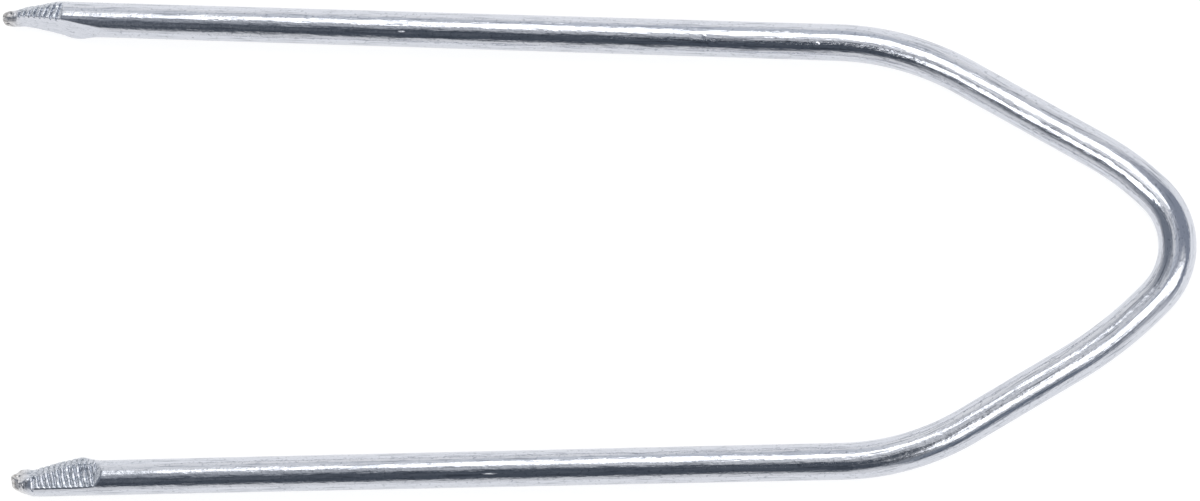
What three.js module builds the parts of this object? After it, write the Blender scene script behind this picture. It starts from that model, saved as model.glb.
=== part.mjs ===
// Wire release key: one round steel wire bent flat into a long U with a pointed, rounded bow,
// and two pressed, serrated catch tips. Millimetres, +Z up. It lies flat on z = 0, with its
// legs along X, its bow at +X and the origin under the middle of its outline.
// The one wire is cut into seven solids where its shape changes. They meet face to face.
import * as THREE from 'three';

// The wire
const WIRE_DIAMETER = 3.6;
const WIRE_SIDES = 24;

// The bends, from the end of the upper (+Y) leg round to the end of the lower (-Y) leg
const UPPER_LEG_LENGTH = 89.0;
const LOWER_LEG_LENGTH = 87.4;
const UPPER_ELBOW = { radius: 28.7, turn: 26.6 };
const LOWER_ELBOW = { radius: 25.6, turn: 29.0 };
const UPPER_SLANT_LENGTH = 14.7;
const LOWER_SLANT_LENGTH = 11.5;
const UPPER_EASING = { radius: 26.5, turn: 15.5 };
const CROWN_BEND = { radius: 6.84, turn: 88.4 };
const LOWER_EASING = { radius: 38.0, turn: 15.8 };
const STEP_ANGLE = 6;

// The tips. Flats are given by the way they face, in degrees from straight up, positive towards
// +Y, and by their depth below the round of the wire at distances from the free end.
const RIDGE_PITCH = 0.62;
const TIP_STATIONS = 48;
const TIP_LENGTH = (TIP_STATIONS * RIDGE_PITCH) / 2;
const RIDGE_HEIGHT = 0.12;
const MIN_HALF_THICKNESS = 0.22;

const UPPER_TIP = {
  nose: { length: 1.5, start: 0.45, radius: 1.05 },
  flats: [
    { facing: -60, depths: [[0, 1.25], [2.3, 1.42], [6.4, 0.9], [8.9, 0.48], [11.5, 0.15], [14.0, 0]] },
    { facing: 38, depths: [[0, 0.95], [2.3, 1.05], [5.4, 0.42], [7.2, 0.16], [7.4, 0]], ridges: [2.3, 7.2] },
    { facing: -120, depths: [[0, 0.85], [3.0, 0.75], [7.5, 0]] },
    { facing: 125, depths: [[0, 0.9], [2.3, 0.8], [6.0, 0]] },
  ],
};

const LOWER_TIP = {
  nose: { length: 1.9, start: 0.7, radius: 1.45 },
  flats: [
    { facing: 11, depths: [[0, 0.35], [1.9, 0.3], [2.3, 0.68], [8.2, 0.65], [9.9, 0]], ridges: [2.3, 8.2] },
    { facing: 68, depths: [[0, 0.8], [1.9, 0.62], [2.5, 0.85], [6.9, 0.12], [7.6, 0]] },
    { facing: 160, depths: [[0, 0.75], [2.3, 0.7], [6.0, 0]] },
    { facing: -110, depths: [[0, 0.65], [1.9, 0.1], [2.6, 0]] },
  ],
};

const WIRE_RADIUS = WIRE_DIAMETER / 2;
// The sides of the polygon touch the round wire, so the wire is exactly as thick as it should be.
const CORNER_RADIUS = WIRE_RADIUS / Math.cos(Math.PI / WIRE_SIDES);

const rad = THREE.MathUtils.degToRad;
const zinc = { color: 0xc6cad2, metalness: 1.0, roughness: 0.25 };

/** A bend in the flat: an arc that starts at `pose` and turns to the right by `turn` degrees. */
class Bend extends THREE.Curve {
  constructor(pose, { radius, turn }) {
    super();
    this.pose = pose;
    this.radius = radius;
    this.turn = rad(turn);
  }

  getPoint(t) {
    const { at, heading } = this.pose;
    const end = heading - this.turn * t;
    const x = at.x + this.radius * (Math.sin(heading) - Math.sin(end));
    const y = at.y + this.radius * (Math.cos(end) - Math.cos(heading));
    return new THREE.Vector3(x, y, WIRE_RADIUS);
  }

  getTangent(t) {
    const heading = this.pose.heading - this.turn * t;
    return new THREE.Vector3(Math.cos(heading), Math.sin(heading), 0);
  }
}

/** Moves a pose straight ahead. */
function ahead(pose, length) {
  const step = new THREE.Vector3(Math.cos(pose.heading), Math.sin(pose.heading), 0);
  return { at: pose.at.clone().addScaledVector(step, length), heading: pose.heading };
}

/** Moves a pose round a bend. */
function around(pose, bend) {
  return { at: new Bend(pose, bend).getPoint(1), heading: pose.heading - rad(bend.turn) };
}

/** The wire's section: a polygon with a flat side at the top and at the bottom. */
function wireSection() {
  const corners = [];
  for (let side = 0; side < WIRE_SIDES; side++) {
    const angle = ((side + 0.5) * 2 * Math.PI) / WIRE_SIDES;
    corners.push(new THREE.Vector2(CORNER_RADIUS * Math.cos(angle), CORNER_RADIUS * Math.sin(angle)));
  }
  return new THREE.Shape(corners);
}

/** A stretch of plain wire along a curve. */
function wireAlong(curve, steps) {
  return new THREE.ExtrudeGeometry(wireSection(), { steps, extrudePath: curve });
}

/** A straight stretch of wire between two poses. */
function straightWire(from, to) {
  return wireAlong(new THREE.LineCurve3(from.at, to.at), 1);
}

/** A stretch of wire through several curves. Its steps are STEP_ANGLE apart in the tightest one. */
function bentWire(curves) {
  const path = new THREE.CurvePath();
  curves.forEach((curve) => path.add(curve));
  const tightest = Math.min(...curves.map((curve) => curve.radius ?? Infinity));
  return wireAlong(path, Math.ceil(path.getLength() / (tightest * rad(STEP_ANGLE))));
}

/** Reads a list of [distance, value] pairs as a line through its points. */
function along(pairs, distance) {
  for (let i = 1; i < pairs.length; i++) {
    const [x0, v0] = pairs[i - 1];
    const [x1, v1] = pairs[i];
    if (distance <= x1) return THREE.MathUtils.mapLinear(Math.max(distance, x0), x0, x1, v0, v1);
  }
  return pairs.at(-1)[1];
}

/** How deep a flat lies below the round of the wire, with the saw teeth of a ridged one. */
function flatDepth(flat, distance) {
  const depth = along(flat.depths, distance);
  if (!flat.ridges || distance < flat.ridges[0] || distance > flat.ridges[1]) return depth;
  const tooth = Math.abs(((distance / RIDGE_PITCH) % 1) - 0.5) * 2;
  return depth + RIDGE_HEIGHT * (tooth - 0.5);
}

/** The reach of the tip's surface from the wire's axis, at a distance from the free end. */
function tipReach(tip, distance, angle) {
  const { length, start, radius } = tip.nose;
  let reach = CORNER_RADIUS;
  if (distance < length) {
    const short = 1 - distance / length;
    reach = start + (radius - start) * Math.sqrt(1 - short * short);
  }
  for (const flat of tip.flats) {
    const depth = flatDepth(flat, distance);
    const facing = Math.cos(angle - rad(flat.facing));
    if (depth <= 0 || facing <= 0) continue;
    const height = Math.max(WIRE_RADIUS - depth, MIN_HALF_THICKNESS);
    reach = Math.min(reach, height / facing);
  }
  return reach;
}

/** A tip: rings of points from its blunt free end to the plain wire, closed by a fan at each end. */
function tipGeometry(tip, freeEnd, root) {
  const inward = root.at.clone().sub(freeEnd.at).normalize();
  const up = new THREE.Vector3(0, 0, 1);
  // The side that faces +Y: the tip's own left or right, whichever way the wire runs.
  const side = new THREE.Vector3(-inward.y, inward.x, 0);
  if (side.y < 0) side.negate();
  const positions = [];
  for (let station = 0; station <= TIP_STATIONS; station++) {
    const distance = (station * RIDGE_PITCH) / 2;
    const middle = freeEnd.at.clone().addScaledVector(inward, distance);
    for (let corner = 0; corner < WIRE_SIDES; corner++) {
      const angle = ((corner + 0.5) * 2 * Math.PI) / WIRE_SIDES;
      const reach = station === TIP_STATIONS ? CORNER_RADIUS : tipReach(tip, distance, angle);
      const point = middle.clone();
      point.addScaledVector(up, reach * Math.cos(angle)).addScaledVector(side, reach * Math.sin(angle));
      positions.push(...point);
    }
  }
  const firstFan = positions.length / 3;
  positions.push(...freeEnd.at, ...root.at);

  const faces = [];
  for (let corner = 0; corner < WIRE_SIDES; corner++) {
    const next = (corner + 1) % WIRE_SIDES;
    for (let station = 0; station < TIP_STATIONS; station++) {
      const near = station * WIRE_SIDES;
      const far = near + WIRE_SIDES;
      faces.push(near + corner, far + corner, near + next);
      faces.push(near + next, far + corner, far + next);
    }
    const last = TIP_STATIONS * WIRE_SIDES;
    faces.push(firstFan, corner, next);
    faces.push(firstFan + 1, last + next, last + corner);
  }
  // The rings run clockwise or anticlockwise with the side that the tip lies on.
  if (new THREE.Vector3().crossVectors(up, side).dot(inward) > 0) faces.reverse();
  const geometry = new THREE.BufferGeometry();
  geometry.setAttribute('position', new THREE.Float32BufferAttribute(positions, 3));
  geometry.setIndex(faces);
  geometry.computeVertexNormals();
  return geometry;
}

function zone(name, geometry) {
  const mesh = new THREE.Mesh(geometry, new THREE.MeshStandardMaterial(zinc));
  mesh.name = name;
  return mesh;
}

function releaseKey() {
  const turns = [UPPER_ELBOW, UPPER_EASING, CROWN_BEND, LOWER_EASING, LOWER_ELBOW];
  const wholeTurn = turns.reduce((sum, bend) => sum + bend.turn, 0);
  // The two legs splay by the same angle on either side of X.
  const upperEnd = { at: new THREE.Vector3(0, 0, WIRE_RADIUS), heading: -rad(180 - wholeTurn) / 2 };
  const upperRoot = ahead(upperEnd, TIP_LENGTH);
  const upperLegEnd = ahead(upperEnd, UPPER_LEG_LENGTH);
  const upperSlant = around(upperLegEnd, UPPER_ELBOW);
  const crownStart = ahead(upperSlant, UPPER_SLANT_LENGTH);
  const crownBend = around(crownStart, UPPER_EASING);
  const crownEase = around(crownBend, CROWN_BEND);
  const crownEnd = around(crownEase, LOWER_EASING);
  const lowerSlantEnd = ahead(crownEnd, LOWER_SLANT_LENGTH);
  const lowerLegEnd = around(lowerSlantEnd, LOWER_ELBOW);
  const lowerRoot = ahead(lowerLegEnd, LOWER_LEG_LENGTH - TIP_LENGTH);
  const lowerEnd = ahead(lowerRoot, TIP_LENGTH);

  const upperShoulder = [
    new Bend(upperLegEnd, UPPER_ELBOW),
    new THREE.LineCurve3(upperSlant.at, crownStart.at),
  ];
  const lowerShoulder = [
    new THREE.LineCurve3(crownEnd.at, lowerSlantEnd.at),
    new Bend(lowerSlantEnd, LOWER_ELBOW),
  ];
  const crown = [
    new Bend(crownStart, UPPER_EASING),
    new Bend(crownBend, CROWN_BEND),
    new Bend(crownEase, LOWER_EASING),
  ];

  const key = new THREE.Group();
  key.add(
    zone('upper_tip', tipGeometry(UPPER_TIP, upperEnd, upperRoot)),
    zone('upper_leg', straightWire(upperRoot, upperLegEnd)),
    zone('upper_shoulder', bentWire(upperShoulder)),
    zone('crown', bentWire(crown)),
    zone('lower_shoulder', bentWire(lowerShoulder)),
    zone('lower_leg', straightWire(lowerLegEnd, lowerRoot)),
    zone('lower_tip', tipGeometry(LOWER_TIP, lowerEnd, lowerRoot)),
  );
  const middle = new THREE.Box3().setFromObject(key, true).getCenter(new THREE.Vector3());
  key.position.set(-middle.x, -middle.y, 0);
  return key;
}

const root = new THREE.Group();
root.add(releaseKey());
export default root;
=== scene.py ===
"""Wire release key: one bright zinc plated steel wire, bent flat into a long U with a pointed bow,
its two ends pressed into serrated catch tips. Lengths in the tables below are millimetres."""
import math

import bpy
import numpy as np
from mathutils import Matrix, Vector


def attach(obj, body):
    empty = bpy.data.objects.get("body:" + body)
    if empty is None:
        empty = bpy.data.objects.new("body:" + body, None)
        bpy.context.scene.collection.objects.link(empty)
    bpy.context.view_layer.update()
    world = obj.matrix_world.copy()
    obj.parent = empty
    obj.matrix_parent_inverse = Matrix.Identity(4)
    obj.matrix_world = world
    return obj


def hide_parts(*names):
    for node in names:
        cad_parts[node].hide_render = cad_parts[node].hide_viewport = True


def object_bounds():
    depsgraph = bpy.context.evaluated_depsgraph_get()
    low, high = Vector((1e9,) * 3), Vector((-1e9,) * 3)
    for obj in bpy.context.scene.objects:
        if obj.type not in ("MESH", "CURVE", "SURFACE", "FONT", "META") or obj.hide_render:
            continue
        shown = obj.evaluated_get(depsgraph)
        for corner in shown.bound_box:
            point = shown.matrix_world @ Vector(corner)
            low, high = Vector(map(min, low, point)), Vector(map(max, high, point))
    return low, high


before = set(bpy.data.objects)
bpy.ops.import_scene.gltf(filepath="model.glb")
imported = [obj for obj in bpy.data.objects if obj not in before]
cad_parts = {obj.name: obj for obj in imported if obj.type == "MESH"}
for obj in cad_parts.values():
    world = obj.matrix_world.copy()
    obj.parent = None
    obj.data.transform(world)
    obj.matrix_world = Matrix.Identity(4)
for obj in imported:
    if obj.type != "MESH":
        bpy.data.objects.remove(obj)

CAD_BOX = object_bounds()
MM = 0.001

# ---- The wire's line, from the end of the upper leg round to the end of the lower leg ----
WIRE_RADIUS = 1.8
# Each stretch is (length, turn in degrees): straight where the turn is 0, else an arc.
UPPER_LEG = (89.0, 0.0)
LOWER_LEG = (87.4, 0.0)
UPPER_SLANT = (14.7, 0.0)
LOWER_SLANT = (11.5, 0.0)


def bend(radius, turn):
    """An arc's length, which is its radius times its turn in radians, and its turn."""
    return radius * math.radians(turn), turn


STRETCHES = [
    UPPER_LEG,
    bend(28.7, 26.6),       # the upper elbow
    UPPER_SLANT,
    bend(26.5, 15.5),       # an easing bend into the crown
    bend(6.84, 88.4),       # the crown
    bend(38.0, 15.8),       # an easing bend out of it
    LOWER_SLANT,
    bend(25.6, 29.0),       # the lower elbow
    LOWER_LEG,
]
TIP_LENGTH = 14.88
TIP_BLEND = 0.8             # where the pressed section takes over from the round one
SHEARED_LENGTH = 2.0        # how far the bare steel of a sheared end takes to fade into plate
SHEARED_FULL = 1.2          # its bareness at the very end: above 1, so the fade starts further in
FINE_LENGTH = 10.8          # the scored part of a tip, which takes close stations
FINE_STEP = 0.06
TIP_STEP = 0.3
LEG_STEP = 1.6
BEND_STEP = 0.55
AROUND = 144                # points round the wire

# ---- The tips ----
# A tip is the round wire cut by flats. Its section is where rays from a point inside it, its core,
# first meet the round of the wire, the nose or a flat. Distances run from the free end.
#   core: that inside point along the tip, as (distance, outer, up) from the wire's axis.
#   nose: the rounded end, as (length, blunt, girth): `blunt` is its reach at the very end, and
#     `girth` is its reach at its full length.
#   bulge: metal that the press pushed aside, as (facing, distance, length, height).
#   flats: a flat faces `facing` degrees from straight up, positive to the outer side of the U, and
#     lies at `height` from the wire's axis, given as (distance, height). Its `ridges` run across
#     it with V grooves between them, as (from, to, pitch, depth, lean).
#   pits: dents of the press, as (distance, facing, width, depth).
UPPER_TIP = {
    "core": [(0.0, -0.05, -0.62), (3.0, -0.05, -0.6), (6.5, 0.0, -0.25), (9.5, 0.0, 0.0)],
    "nose": (1.9, 0.42, 1.02),
    "bulge": (-90.0, 8.3, 1.4, 0.42),
    "flats": [
        {"facing": -60, "height": [(0, 0.5), (1.75, 0.55), (2.35, 0.36), (3.6, 0.62), (5.3, 0.86),
                                   (6.4, 0.98), (8.9, 1.34), (11.5, 1.66), (13.2, 1.78), (14.2, 1.81)]},
        {"facing": 20, "height": [(0, 0.62), (1.9, 0.8), (2.3, 0.8), (3.6, 1.2), (5.2, 1.46), (7.4, 1.54),
                                  (7.45, 1.85)],
         "ridges": (2.0, 7.4, 0.66, 0.32, -0.14)},
        {"facing": 72, "height": [(0, 0.6), (1.9, 0.75), (2.4, 0.88), (3.6, 1.08), (5.3, 1.5), (6.6, 1.81)],
         "ridges": (2.2, 6.4, 0.66, 0.22, -0.14)},
        {"facing": 15, "height": [(0, 0.0), (0.5, 0.2), (1.3, 0.3), (1.6, 1.85)]},
        {"facing": -28, "height": [(0, 0.15), (0.9, 0.36), (1.9, 0.42), (2.1, 1.85)]},
        {"facing": 100, "height": [(0, 0.35), (0.6, 0.6), (1.6, 0.7), (1.9, 1.85)]},
        {"facing": -115, "height": [(0, 1.1), (2.4, 1.1), (4.0, 1.2), (5.6, 1.5), (7.0, 1.85), (7.6, 2.3)]},
        {"facing": 180, "height": [(0, 1.45), (2.5, 1.5), (5.0, 1.81)]},
    ],
    "pits": [(1.15, 20, 0.3, 0.06), (2.15, 40, 0.3, 0.2), (0.7, -50, 0.25, 0.1), (2.7, -38, 0.3, 0.06),
             (3.9, -42, 0.35, 0.05)],
}
LOWER_TIP = {
    "core": [(0.0, 0.1, -0.45), (3.0, 0.1, -0.45), (8.0, 0.0, -0.3), (10.5, 0.0, 0.0)],
    "nose": (2.8, 0.85, 1.75),
    "bulge": (-90.0, 7.6, 1.2, 0.36),
    "flats": [
        {"facing": -16, "height": [(0, 1.1), (1.9, 1.2), (2.4, 1.17), (8.7, 1.17), (9.7, 1.28),
                                   (10.6, 1.81)],
         "ridges": (2.6, 10.0, 0.6, 0.22, -0.3)},
        {"facing": -58, "height": [(0, 0.95), (1.9, 0.92), (2.5, 0.84), (7.6, 1.72), (8.8, 1.72),
                                   (10.0, 1.81)],
         "ridges": (2.5, 9.6, 0.64, 0.26, -0.25)},
        {"facing": 20, "height": [(0, 0.25), (0.45, 0.55), (1.0, 0.72), (1.25, 1.85)]},
        {"facing": -35, "height": [(0, 0.5), (1.0, 0.62), (1.7, 0.86), (2.5, 1.15), (2.8, 1.85)]},
        {"facing": -92, "height": [(0, 0.3), (0.2, 0.52), (0.6, 0.62), (0.95, 0.98), (1.7, 1.04),
                                   (2.3, 0.92), (3.0, 1.15), (3.95, 1.4), (5.2, 1.75), (6.2, 2.0),
                                   (6.6, 2.4)]},
        {"facing": 70, "height": [(0, 0.75), (1.0, 1.2), (2.2, 1.6), (3.2, 1.85)]},
        {"facing": 110, "height": [(0, 1.3), (2.1, 1.75), (2.8, 1.81)]},
        {"facing": 180, "height": [(0, 1.2), (2.5, 1.5), (5.5, 1.81)]},
    ],
    "pits": [(0.95, -15, 0.35, 0.1), (1.9, 20, 0.3, 0.1), (2.25, -25, 0.32, 0.14), (6.6, -35, 0.35, 0.12),
             (8.2, -28, 0.45, 0.14), (4.6, -42, 0.3, 0.1)],
}
EDGE_SOFTNESS = 0.03        # how far the pressed edges are rounded over
CORNER_EASING = 0.1         # how far each way along the wire the corners of `height` are rounded
EASING_SAMPLES = 9
GROOVE_SHARE = 0.5          # the share of a ridge's pitch that its groove takes
RIDGES_HALF_WIDTH = 1.4     # how far from the middle of their face the grooves run out
RIDGES_FADE_IN = 0.2        # over what length the grooves deepen at their first end
RIDGES_FADE_OUT = 0.3       # and fade at their last end and their sides
RIDGE_WANDER = 0.07         # how far a ridge strays, as a share of its pitch
RIDGE_VARIETY = 0.3         # how much the depth of the grooves varies, as a share
RIDGED_UNEVENNESS = 0.02
SMOOTH_UNEVENNESS = 0.012
NOSE_UNEVENNESS = 0.06      # as a share of the nose's reach
NOSE_OPENING = 3.0          # how fast the nose lets go of the section beyond its length
STEEPEST_RAY = 1.35         # radians from a flat's facing, past which `across` grows no more
LEAST_COSINE = 0.02         # a ray flatter to a flat than this never meets it
LEAST_REACH = 0.03
NEVER_MET = 50.0            # the reach of a ray that never meets a flat
FARTHEST_REACH = 12.0
PIT_NARROWING = 0.8         # distances round the wire count less, so pits are wider that way
PIT_EDGE = 1.5              # how steeply a pit's edge falls
LUMP_WAVES = 7
LUMP_RATES = (1.6, 7.0)     # radians per millimetre
LUMP_FADE = 0.3             # the waves' sizes run as 1 over 1, 1.3, 1.6 and so on
LUMP_DIVISOR = 2.5          # brings nearly all of the waves' sum within -1 to 1


def wire_line(stations):
    """Middle and heading of the wire at each station. The heading falls evenly with distance in an
    arc and holds in a straight; the middle is the running sum of chords, each as long as its arc's
    chord and pointing the mean way. The whole is centred on the CAD outline."""
    lengths, turns = np.array(STRETCHES).T
    marks = np.concatenate([[0.0], np.cumsum(lengths)])
    start = -(180.0 - turns.sum()) / 2
    headings = np.radians(start - np.concatenate([[0.0], np.cumsum(turns)]))
    heading = np.interp(stations, marks, headings)
    half_turn = np.diff(heading) / 2
    chord = np.diff(stations) * np.sinc(half_turn / np.pi)
    mean = (heading[1:] + heading[:-1]) / 2
    steps = np.stack([chord * np.cos(mean), chord * np.sin(mean)], axis=1)
    middle = np.concatenate([np.zeros((1, 2)), np.cumsum(steps, axis=0)])
    side = WIRE_RADIUS * np.stack([-np.sin(heading), np.cos(heading)], axis=1)
    outline = np.concatenate([middle + side, middle - side])
    box_middle = (outline.max(axis=0) + outline.min(axis=0)) / 2
    cad_middle = np.array((CAD_BOX[0] + CAD_BOX[1]) / 2)[:2] / MM
    return middle - box_middle + cad_middle, heading


def wire_stations():
    """Distances along the wire, even within each stretch: close together in the scored tips, wider
    in the legs."""
    lengths = np.array(STRETCHES)[:, 0]
    marks = np.concatenate([[0.0], np.cumsum(lengths)])
    whole = marks[-1]
    near = [0.0, FINE_LENGTH, TIP_LENGTH]
    stops = np.concatenate([near, marks[1:-1], whole - np.array(near[::-1])])
    leg_steps = [FINE_STEP, TIP_STEP, LEG_STEP]
    bow_steps = [BEND_STEP] * (len(STRETCHES) - 2)
    spacing = leg_steps + bow_steps + leg_steps[::-1]
    pieces = [np.linspace(a, b, max(2, round((b - a) / step)), endpoint=False)
              for a, b, step in zip(stops[:-1], stops[1:], spacing)]
    return np.concatenate(pieces + [[whole]])


def lumps(a, b, seed):
    """A smooth unevenness, nearly all of it between -1 and 1 and its peaks near 1.5: a sum of sine
    waves in many directions, each a little weaker than the one before."""
    rng = np.random.default_rng(seed)
    total = np.zeros(np.broadcast(a, b).shape)
    for wave in range(LUMP_WAVES):
        turn, phase = rng.uniform(0, 2 * np.pi, 2)
        rate = rng.uniform(*LUMP_RATES)
        total += np.sin(rate * (a * np.cos(turn) + b * np.sin(turn)) + phase) / (1 + LUMP_FADE * wave)
    return total / LUMP_DIVISOR


def eased(points, distance):
    """A line through (distance, value) points, with its corners rounded by averaging nearby."""
    at, value = np.array(points, float).T
    spread = np.linspace(-CORNER_EASING, CORNER_EASING, EASING_SAMPLES)
    return np.interp(distance[..., None] + spread, at, value).mean(axis=-1)


def angle_between(angle, facing):
    """The signed angle from a facing, kept within half a turn."""
    return (angle - facing + np.pi) % (2 * np.pi) - np.pi


def flat_reach(flat, distance, angle, core, seed):
    """How far a ray from the core at `angle` runs before it meets the flat: the flat's height less
    the core's height, over the cosine between them. A groove between ridges lowers the height in a
    V, deepest half way along the pitch, and unevenness moves it a little."""
    facing = math.radians(flat["facing"])
    normal = np.array([math.sin(facing), math.cos(facing)])
    cosine = np.cos(angle - facing)
    height = eased(flat["height"], distance)
    core_height = core @ normal
    steepness = np.tan(np.clip(angle_between(angle, facing), -STEEPEST_RAY, STEEPEST_RAY))
    across = (height - core_height) * steepness
    if "ridges" in flat:
        first, last, pitch, depth, lean = flat["ridges"]
        phase = (distance + lean * across) / pitch + RIDGE_WANDER * lumps(distance, across, seed + 5)
        off_groove = 2 * np.abs(phase % 1.0 - 0.5)
        groove = np.clip(1 - off_groove / GROOVE_SHARE, 0, 1)
        fade_in = np.clip((distance - first) / RIDGES_FADE_IN, 0, 1)
        fade_out = np.clip((last - distance) / RIDGES_FADE_OUT, 0, 1)
        inside = fade_in * fade_out
        strength = 1 + RIDGE_VARIETY * lumps(distance * 0.8, across, seed + 9)
        strength = strength * np.clip((RIDGES_HALF_WIDTH - np.abs(across)) / RIDGES_FADE_OUT, 0, 1)
        height = height - depth * inside * strength * groove
        height = height + RIDGED_UNEVENNESS * inside * lumps(distance * 2, across * 2, seed)
    else:
        height = height + SMOOTH_UNEVENNESS * lumps(distance, across, seed)
    reach = (height - core_height) / np.maximum(cosine, LEAST_COSINE)
    return np.where(cosine > LEAST_COSINE, np.maximum(reach, LEAST_REACH), NEVER_MET)


def tip_surface(tip, distance, angle, seed):
    """Points across and up from the wire's axis, and how much each is pressed or scored.
    A ray from the tip's core meets the round of the wire, the nose and each flat; the nearest wins,
    by a soft minimum that rounds the pressed edges. Pits then lower the reach in soft round dents."""
    core_at = np.array(tip["core"])
    core = np.stack([np.interp(distance, core_at[:, 0], core_at[:, i]) for i in (1, 2)], axis=-1)
    ray = np.stack([np.sin(angle), np.cos(angle)], axis=-1)
    facing, middle, length, height = tip["bulge"]
    swell = height * np.exp(-((distance - middle) / length) ** 2)
    radius = WIRE_RADIUS + swell * np.clip(np.cos(angle - math.radians(facing)), 0, 1) ** 3
    along = (core * ray).sum(axis=-1)
    round_reach = -along + np.sqrt(along ** 2 + radius ** 2 - (core ** 2).sum(axis=-1))

    nose_length, blunt, girth = tip["nose"]
    short = np.clip(1 - distance / nose_length, 0, 1)
    nose = blunt + (girth - blunt) * np.sqrt(1 - short ** 2)
    nose = nose * (1 + NOSE_UNEVENNESS * lumps(distance * 2.5, angle * 1.4, seed + 3))
    nose = np.where(distance < nose_length, nose, nose + NOSE_OPENING * (distance - nose_length))

    reaches = [round_reach, nose] + [flat_reach(flat, distance, angle, core, seed + 20 * i)
                                     for i, flat in enumerate(tip["flats"])]
    reaches = np.minimum(np.stack(reaches), FARTHEST_REACH)
    least = reaches.min(axis=0)
    weights = np.exp(-(reaches - least) / EDGE_SOFTNESS)
    reach = least - EDGE_SOFTNESS * np.log(weights.sum(axis=0))
    share = weights / weights.sum(axis=0)
    scored = sum(share[2 + i] for i, flat in enumerate(tip["flats"]) if "ridges" in flat)
    pressed = 1 - share[0]
    for at, facing, width, depth in tip["pits"]:
        round_the_wire = WIRE_RADIUS * angle_between(angle, math.radians(facing))
        apart = ((distance - at) ** 2 + (PIT_NARROWING * round_the_wire) ** 2) / width ** 2
        reach = reach - depth * np.exp(-apart ** PIT_EDGE)
    points = core + reach[..., None] * ray
    return points, pressed, scored


def wire_mesh():
    """The wire as one grid of stations along it by points round it. Each station's section stands
    square to the wire's line: `outer` is to the outer side of the U, and up is +Z."""
    stations = wire_stations()
    middle, heading = wire_line(stations)
    angle = np.arange(AROUND) * 2 * np.pi / AROUND
    distance, turn = np.meshgrid(stations, angle, indexing="ij")
    whole = stations[-1]
    section = WIRE_RADIUS * np.stack([np.sin(turn), np.cos(turn)], axis=-1)
    pressed = np.zeros(distance.shape)
    scored = np.zeros(distance.shape)
    sheared = np.clip(SHEARED_FULL - np.minimum(distance, whole - distance) / SHEARED_LENGTH, 0, 1)
    for tip, from_end, seed in ((UPPER_TIP, distance, 11), (LOWER_TIP, whole - distance, 47)):
        rows = from_end[:, 0] <= TIP_LENGTH + 1e-6
        points, press, score = tip_surface(tip, from_end[rows], turn[rows], seed)
        taken_over = np.clip((TIP_LENGTH - from_end[rows]) / TIP_BLEND, 0, 1)
        section[rows] = section[rows] + taken_over[..., None] * (points - section[rows])
        pressed[rows] = press * taken_over
        scored[rows] = score
    outer = np.stack([-np.sin(heading), np.cos(heading)], axis=-1)
    flat_place = middle[:, None, :] + section[..., :1] * outer[:, None, :]
    place = np.concatenate([flat_place, WIRE_RADIUS + section[..., 1:]], axis=-1)
    straightened = np.concatenate([distance[..., None], section], axis=-1)
    return place, {"straightened": straightened, "pressed": pressed, "scored": scored, "sheared": sheared}


def grid_object(name, place, attributes):
    """A mesh from a grid that closes round its second side: a quad joins each point to the next along
    and the next round, and a fan of triangles runs from the middle of each end to its rim."""
    rows, columns = place.shape[:2]
    index = np.arange(rows * columns).reshape(rows, columns)
    following = np.roll(index, -1, axis=1)
    quads = np.stack([index[:-1], following[:-1], following[1:], index[1:]], axis=-1).reshape(-1, 4)
    ends = np.array([rows * columns, rows * columns + 1])
    first = np.stack([np.full(columns, ends[0]), following[0], index[0]], axis=-1)
    last = np.stack([np.full(columns, ends[1]), index[-1], following[-1]], axis=-1)
    points = np.concatenate([place.reshape(-1, 3), place[[0, -1]].mean(axis=1)])
    mesh = bpy.data.meshes.new(name)
    faces = quads.tolist() + first.tolist() + last.tolist()
    mesh.from_pydata((points * MM).tolist(), [], faces)
    mesh.polygons.foreach_set("use_smooth", np.ones(len(faces), bool))
    for label, values in attributes.items():
        vector = values.ndim == 3
        layer = mesh.attributes.new(label, "FLOAT_VECTOR" if vector else "FLOAT", "POINT")
        table = values.reshape(rows * columns, -1)
        table = np.concatenate([table, values[[0, -1]].mean(axis=1).reshape(2, -1)])
        layer.data.foreach_set("vector" if vector else "value", table.astype(np.float32).ravel())
    mesh.validate()
    piece = bpy.data.objects.new(name, mesh)
    bpy.context.scene.collection.objects.link(piece)
    return piece


# ---- Materials ----
# Patterns of the drawn and plated wire: (waves per millimetre along, outer and up, detail).
DRAW_LINES = ((0.28, 5.5, 5.5), 3.0)    # 0.2 mm apart, 4 mm long
DIE_WAVES = ((0.33, 1.2, 1.2), 2.0)     # waves that the die leaves, 3 mm by 0.8 mm
DIMPLES = ((1.2, 2.6, 2.6), 2.0)        # knocks from the plating barrel, 0.8 mm by 0.4 mm
GRAINS = ((2.6, 4.0, 4.0), 4.0)         # orange peel of 0.25 mm, coarser than real, so that it shows

# How far each pattern lifts the surface.
LINE_HEIGHT = 0.017
WAVE_HEIGHT = 0.03
DIMPLE_HEIGHT = 0.016
GRAIN_HEIGHT = 0.009
NICK_HEIGHT = 1.0           # the nicks' own rises are in millimetres already

# Nicks and scratches of handling: (distance along the wire, outer, up, length, width, rise), in
# millimetres; a nick with a negative rise is a dent.
NICKS = [
    (44.6, -0.45, 1.74, 0.9, 0.14, -0.03),
    (75.2, -0.20, 1.79, 1.1, 0.12, -0.04),
    (76.0, 0.05, 1.80, 0.5, 0.3, -0.03),
    (83.8, 0.72, 1.65, 1.6, 0.16, 0.03),
    (87.4, -0.36, 1.76, 0.5, 0.35, -0.04),
    (60.5, 0.9, 1.56, 2.4, 0.10, -0.02),
    (166.0, -0.6, 1.70, 3.0, 0.5, -0.02),
    (205.0, 0.5, 1.73, 2.0, 0.12, -0.02),
]


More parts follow.
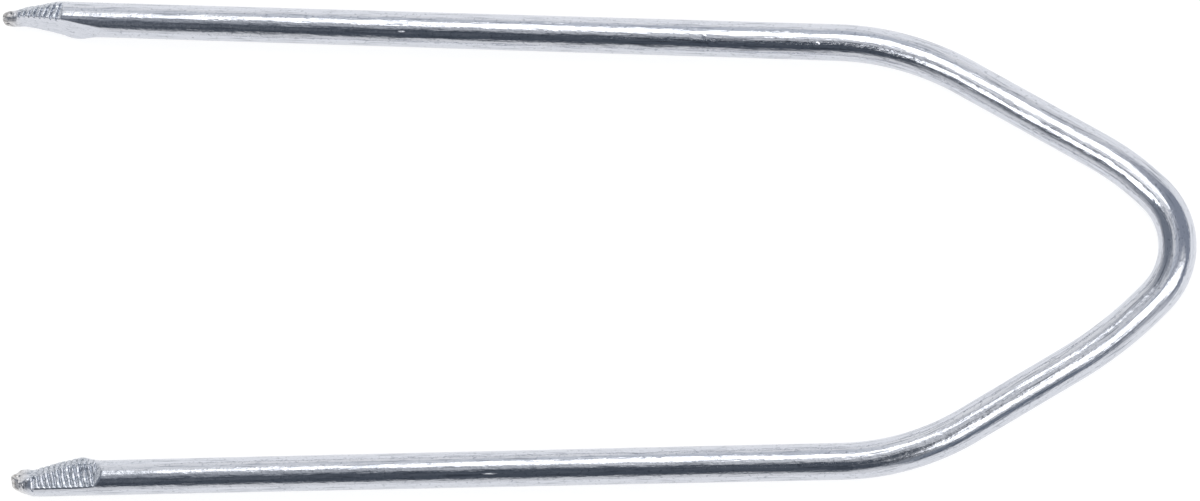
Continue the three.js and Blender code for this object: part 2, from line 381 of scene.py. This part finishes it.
def colour(code):
    """An sRGB hex colour as the linear values that Blender's sockets take."""
    parts = [int(code[i:i + 2], 16) / 255 for i in (1, 3, 5)]
    linear = [v / 12.92 if v <= 0.04045 else ((v + 0.055) / 1.055) ** 2.4 for v in parts]
    return (*linear, 1.0)


def add(tree, kind, inputs=None, **settings):
    """Adds a node: `settings` are its properties, `inputs` are values or output sockets to link."""
    node = tree.nodes.new(kind)
    for key, value in settings.items():
        setattr(node, key, value)
    for key, value in (inputs or {}).items():
        if isinstance(value, bpy.types.NodeSocket):
            tree.links.new(value, node.inputs[key])
        else:
            node.inputs[key].default_value = value
    return node


def nick_heights(tree, straight):
    """The sum of the nicks: each is a soft-edged oval, its rise at the middle and none at the rim."""
    total = 0.0
    for along, outer, up, length, width, rise in NICKS:
        apart = add(tree, "ShaderNodeVectorMath", {0: straight, 1: (along, outer, up)},
                    operation="SUBTRACT")
        scaled = add(tree, "ShaderNodeVectorMath",
                     {0: apart.outputs[0], 1: (2 / length, 2 / width, 2 / width)}, operation="MULTIPLY")
        from_middle = add(tree, "ShaderNodeVectorMath", {0: scaled.outputs[0]}, operation="LENGTH")
        mound = add(tree, "ShaderNodeMapRange",
                    {"Value": from_middle.outputs["Value"], "From Min": 0.3, "From Max": 1.0,
                     "To Min": rise, "To Max": 0.0})
        total = add(tree, "ShaderNodeMath", {0: total, 1: mound.outputs[0]}, operation="ADD").outputs[0]
    return total


def zinc_plated_steel():
    """Bright zinc plate on drawn spring-steel wire: a bluish white metal, nearly a mirror, with faint
    lines along the draw, dimples from the plating barrel, specks and nicks, and duller pressed faces
    whose sheared ends show warmer, barer steel."""
    material = bpy.data.materials.new("bright_zinc_plated_drawn_steel")
    material.use_nodes = True
    tree = material.node_tree
    tree.nodes.clear()
    straight = add(tree, "ShaderNodeAttribute", attribute_name="straightened").outputs["Vector"]
    pressed = add(tree, "ShaderNodeAttribute", attribute_name="pressed").outputs["Fac"]
    scored = add(tree, "ShaderNodeAttribute", attribute_name="scored").outputs["Fac"]
    sheared = add(tree, "ShaderNodeAttribute", attribute_name="sheared").outputs["Fac"]

    patterns = []
    for scale, detail in (DRAW_LINES, DIE_WAVES, DIMPLES, GRAINS):
        place = add(tree, "ShaderNodeMapping", {"Vector": straight, "Scale": scale})
        noise = add(tree, "ShaderNodeTexNoise",
                    {"Vector": place.outputs[0], "Scale": 1.0, "Detail": detail})
        patterns.append(noise.outputs["Fac"])
    lines, waves, dimples, grains = patterns

    mix = add(tree, "ShaderNodeMix", {"Factor": lines, "A": colour("#C4C7CF"), "B": colour("#D4D6DC")},
              data_type="RGBA")
    plate = mix.outputs["Result"]
    unpressed = add(tree, "ShaderNodeMapRange", {"Value": pressed, "To Min": 1.0, "To Max": 0.3})
    # Darker layers over the plate: each is at its strength where its pattern is below `full`, and
    # gone where the pattern is above `none`.
    layers = [
        (lines, 0.30, 0.45, 0.6, unpressed.outputs[0], "#7E838C"),     # streaks along the draw
        (grains, 0.30, 0.42, 0.5, 1.0, "#858A93"),                     # specks
        (grains, 0.40, 0.60, 0.65, scored, "#8B949D"),                 # the dull of the scored faces
    ]
    for pattern, full, none, strength, where, shade in layers:
        amount = add(tree, "ShaderNodeMapRange",
                     {"Value": pattern, "From Min": full, "From Max": none,
                      "To Min": strength, "To Max": 0.0})
        amount = add(tree, "ShaderNodeMath", {0: amount.outputs[0], 1: where}, operation="MULTIPLY")
        mix = add(tree, "ShaderNodeMix", {"Factor": amount.outputs[0], "A": plate, "B": colour(shade)},
                  data_type="RGBA")
        plate = mix.outputs["Result"]
    patches = add(tree, "ShaderNodeMapRange", {"Value": grains, "From Min": 0.40, "From Max": 0.60})
    bare = add(tree, "ShaderNodeMix",
               {"Factor": patches.outputs[0], "A": colour("#A29F9D"), "B": colour("#DAD8D6")},
               data_type="RGBA")
    tone = add(tree, "ShaderNodeMix", {"Factor": sheared, "A": plate, "B": bare.outputs["Result"]},
               data_type="RGBA")

    roughness = add(tree, "ShaderNodeMapRange",
                    {"Value": grains, "From Min": 0.3, "From Max": 0.75, "To Min": 0.06, "To Max": 0.14})
    for part, extra in ((pressed, 0.09), (scored, 0.05), (sheared, 0.12)):
        roughness = add(tree, "ShaderNodeMath", {0: part, 1: extra, 2: roughness.outputs[0]},
                        operation="MULTIPLY_ADD")

    reliefs = [
        (waves, WAVE_HEIGHT),
        (dimples, DIMPLE_HEIGHT),
        (lines, LINE_HEIGHT),
        (grains, GRAIN_HEIGHT),
        (nick_heights(tree, straight), NICK_HEIGHT),
    ]
    surface = {}
    for pattern, height in reliefs:
        bump = add(tree, "ShaderNodeBump",
                   {"Height": pattern, "Strength": 1.0, "Distance": height * MM, **surface})
        surface = {"Normal": bump.outputs[0]}
    shader = add(tree, "ShaderNodeBsdfPrincipled",
                 {"Base Color": tone.outputs["Result"], "Metallic": 1.0,
                  "Roughness": roughness.outputs[0], **surface})
    add(tree, "ShaderNodeOutputMaterial", {"Surface": shader.outputs[0]})
    return material


def light_table():
    """A white acrylic light table: it glows evenly from below and scatters what falls on it."""
    material = bpy.data.materials.new("white_acrylic_light_table")
    material.use_nodes = True
    shader = material.node_tree.nodes["Principled BSDF"]
    shader.inputs["Base Color"].default_value = colour("#A0A0A0")
    shader.inputs["Roughness"].default_value = 0.6
    shader.inputs["Emission Color"].default_value = colour("#FFFFFF")
    shader.inputs["Emission Strength"].default_value = 0.78
    return material


# ---- Studio, whose lengths are metres where they are not times MM ----
CAMERA_LOOK = Vector((3.308, -0.081, 1.8)) * MM
CAMERA_DISTANCE = 380 * MM
CAMERA_LEAN_TO_BOW = math.radians(16.0)
CAMERA_LEAN_TO_LOWER_LEG = math.radians(4.0)
CAMERA_ROLL = math.radians(1.354)
CAMERA_LENS = 115.23
CAMERA_SENSOR = 36.0

TABLE_HALF_WIDTH = 4.0

# Level softboxes above the table: (name, middle, size, turn about +Z in degrees, radiance).
SOFTBOX_HEIGHT = 1.0
SOFTBOXES = [
    ("softbox_back", (-0.08, 0.656), (0.93, 0.64), -12, 1.42),
    ("softbox_bow", (0.86, -0.51), (1.59, 0.64), -3, 1.4),
]

# A honeycomb-gridded softbox, cut into tiles that each shine on the bow's upper side only.
TILE_ROW = [Vector((-0.30, -0.11, 1.0)), Vector((-0.54, -0.42, 1.0))]
TILES_ALONG = 9
TILES_ACROSS = 4
TILE_SIZE = 0.05
TILE_SPREAD = math.radians(3.4)
TILE_POWER = 0.000017
TILE_AIM = Vector((0.060, 0.010, 0.002))

# The room's tones: the low one holds up to its height and the high one from its own, a height
# being the sine of a way's angle above the table.
ROOM_LOW = (0.3, "#DCDCDD")
ROOM_HIGH = (0.6, "#F5F5F5")
ROOM_GLOW = 1.28

# Cards and flags that stand round the table, drawn in the world so that every view sees the same
# studio: the way to the card's middle as azimuth from +X and angle from straight up, its half
# width, its soft edge (all degrees) and its colour. A later card stands before an earlier one.
CARDS = [
    ("pale_card_behind", 103, 79, 41, 27, "#EAEAEA"),
    ("grey_flag_at_bow", 8, 61, 31, 38, "#888E9A"),
    ("grey_card_overhead", 25, 3.4, 5, 5, "#B2B7C0"),
    ("white_card_left", 110, 28, 19, 3, "#FEFEFE"),
    ("dark_flag_at_tips", 183, 50, 7, 45, "#757B85"),
    ("black_flag_in_front", 251, 47, 9, 20, "#484E57"),
    ("grey_strip_behind", 98, 61, 2, 21, "#C1C5CC"),
    ("dark_flag_in_front", 289, 65, 2, 21, "#6D7581"),
    ("dark_flag_by_lamp", 230, 22, 5, 14, "#4A5059"),
    ("grey_flag_by_bow_lamp", 335, 46, 14, 11, "#D5D6D8"),
]


def add_camera():
    """A camera over the key, leaning towards its bow and a little towards its lower leg."""
    data = bpy.data.cameras.new("camera")
    data.lens = CAMERA_LENS
    data.sensor_width = CAMERA_SENSOR
    data.clip_start = 0.01
    data.clip_end = 20.0
    camera = bpy.data.objects.new("camera", data)
    bpy.context.scene.collection.objects.link(camera)
    bow = CAMERA_LEAN_TO_BOW
    leg = CAMERA_LEAN_TO_LOWER_LEG
    back = Vector((math.sin(bow), -math.sin(leg) * math.cos(bow), math.cos(leg) * math.cos(bow)))
    back.normalize()
    right = Vector((0, 1, 0)).cross(back).normalized()
    up = back.cross(right)
    turned_right = math.cos(CAMERA_ROLL) * right + math.sin(CAMERA_ROLL) * up
    turned_up = math.cos(CAMERA_ROLL) * up - math.sin(CAMERA_ROLL) * right
    axes = Matrix((turned_right, turned_up, back)).transposed()
    camera.matrix_world = Matrix.Translation(CAMERA_LOOK + CAMERA_DISTANCE * back) @ axes.to_4x4()
    bpy.context.scene.camera = camera


def add_floor():
    """The table top, level with the lowest side of the wire."""
    mesh = bpy.data.meshes.new("table_top")
    half = TABLE_HALF_WIDTH
    low = CAD_BOX[0].z
    corners = [(-half, -half, low), (half, -half, low), (half, half, low), (-half, half, low)]
    mesh.from_pydata(corners, [], [(0, 1, 2, 3)])
    floor = bpy.data.objects.new("table_top", mesh)
    bpy.context.scene.collection.objects.link(floor)
    floor.data.materials.append(light_table())


def add_softbox(name, middle, size, turn, radiance):
    """A level white softbox above the table. Its power is its radiance times pi times its area."""
    data = bpy.data.lights.new(name, "AREA")
    data.shape = "RECTANGLE"
    data.size = size[0]
    data.size_y = size[1]
    data.energy = radiance * math.pi * size[0] * size[1]
    box = bpy.data.objects.new(name, data)
    box.location = (*middle, SOFTBOX_HEIGHT)
    box.rotation_euler.z = math.radians(turn)
    box.visible_camera = False
    bpy.context.scene.collection.objects.link(box)


def add_gridded_softbox():
    """Tiles of light in a slanting bank, one row before its line, one on it and the rest behind it,
    each aimed at the bow's upper side, so that it alone shows a second bright line."""
    start, end = TILE_ROW
    across = (end - start).cross(Vector((0, 0, 1))).normalized() * TILE_SIZE
    for along in np.linspace(0, 1, TILES_ALONG):
        for step in range(TILES_ACROSS):
            place = start.lerp(end, along) - across * (step - 1)
            data = bpy.data.lights.new("gridded_tile", "AREA")
            data.size = TILE_SIZE
            data.spread = TILE_SPREAD
            data.energy = TILE_POWER
            tile = bpy.data.objects.new("gridded_tile", data)
            tile.location = place
            tile.rotation_euler = (place - TILE_AIM).to_track_quat("Z", "Y").to_euler()
            tile.visible_camera = False
            bpy.context.scene.collection.objects.link(tile)


def toward(azimuth, zenith):
    """The unit way that points `zenith` degrees from straight up, at `azimuth` degrees from +X."""
    azimuth = math.radians(azimuth)
    zenith = math.radians(zenith)
    return math.sin(zenith) * math.cos(azimuth), math.sin(zenith) * math.sin(azimuth), math.cos(zenith)


def add_room():
    """A pale room with the cards and flags round the table. A card covers every way whose cosine to
    its middle is above that of its half width, and fades out over its soft edge."""
    world = bpy.data.worlds.new("studio")
    bpy.context.scene.world = world
    world.use_nodes = True
    tree = world.node_tree
    tree.nodes.clear()
    way = add(tree, "ShaderNodeTexCoord").outputs["Generated"]
    height = add(tree, "ShaderNodeSeparateXYZ", {"Vector": way}).outputs["Z"]
    upper = add(tree, "ShaderNodeMapRange",
                {"Value": height, "From Min": ROOM_LOW[0], "From Max": ROOM_HIGH[0]},
                interpolation_type="SMOOTHSTEP")
    seen = add(tree, "ShaderNodeMix",
               {"Factor": upper.outputs[0], "A": colour(ROOM_LOW[1]), "B": colour(ROOM_HIGH[1])},
               data_type="RGBA")
    for name, azimuth, zenith, half_width, soft_edge, shade in CARDS:
        cosine = add(tree, "ShaderNodeVectorMath", {0: way, 1: toward(azimuth, zenith)},
                     operation="DOT_PRODUCT")
        inside = add(tree, "ShaderNodeMapRange",
                     {"Value": cosine.outputs["Value"],
                      "From Min": math.cos(math.radians(half_width + soft_edge)),
                      "From Max": math.cos(math.radians(half_width))},
                     interpolation_type="SMOOTHSTEP")
        seen = add(tree, "ShaderNodeMix",
                   {"Factor": inside.outputs[0], "A": seen.outputs["Result"], "B": colour(shade)},
                   data_type="RGBA", label=name)
    back = add(tree, "ShaderNodeBackground", {"Color": seen.outputs["Result"], "Strength": ROOM_GLOW})
    add(tree, "ShaderNodeOutputWorld", {"Surface": back.outputs[0]})


def add_studio():
    """The room, two level softboxes over the table and a gridded one."""
    add_room()
    for softbox in SOFTBOXES:
        add_softbox(*softbox)
    add_gridded_softbox()
    bpy.context.scene.view_settings.view_transform = "Standard"


add_camera()
wire = grid_object("wire", *wire_mesh())
wire.data.materials.append(zinc_plated_steel())
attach(wire, "root")
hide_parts("upper_tip", "upper_leg", "upper_shoulder", "crown",
            "lower_shoulder", "lower_leg", "lower_tip")
add_floor()
add_studio()
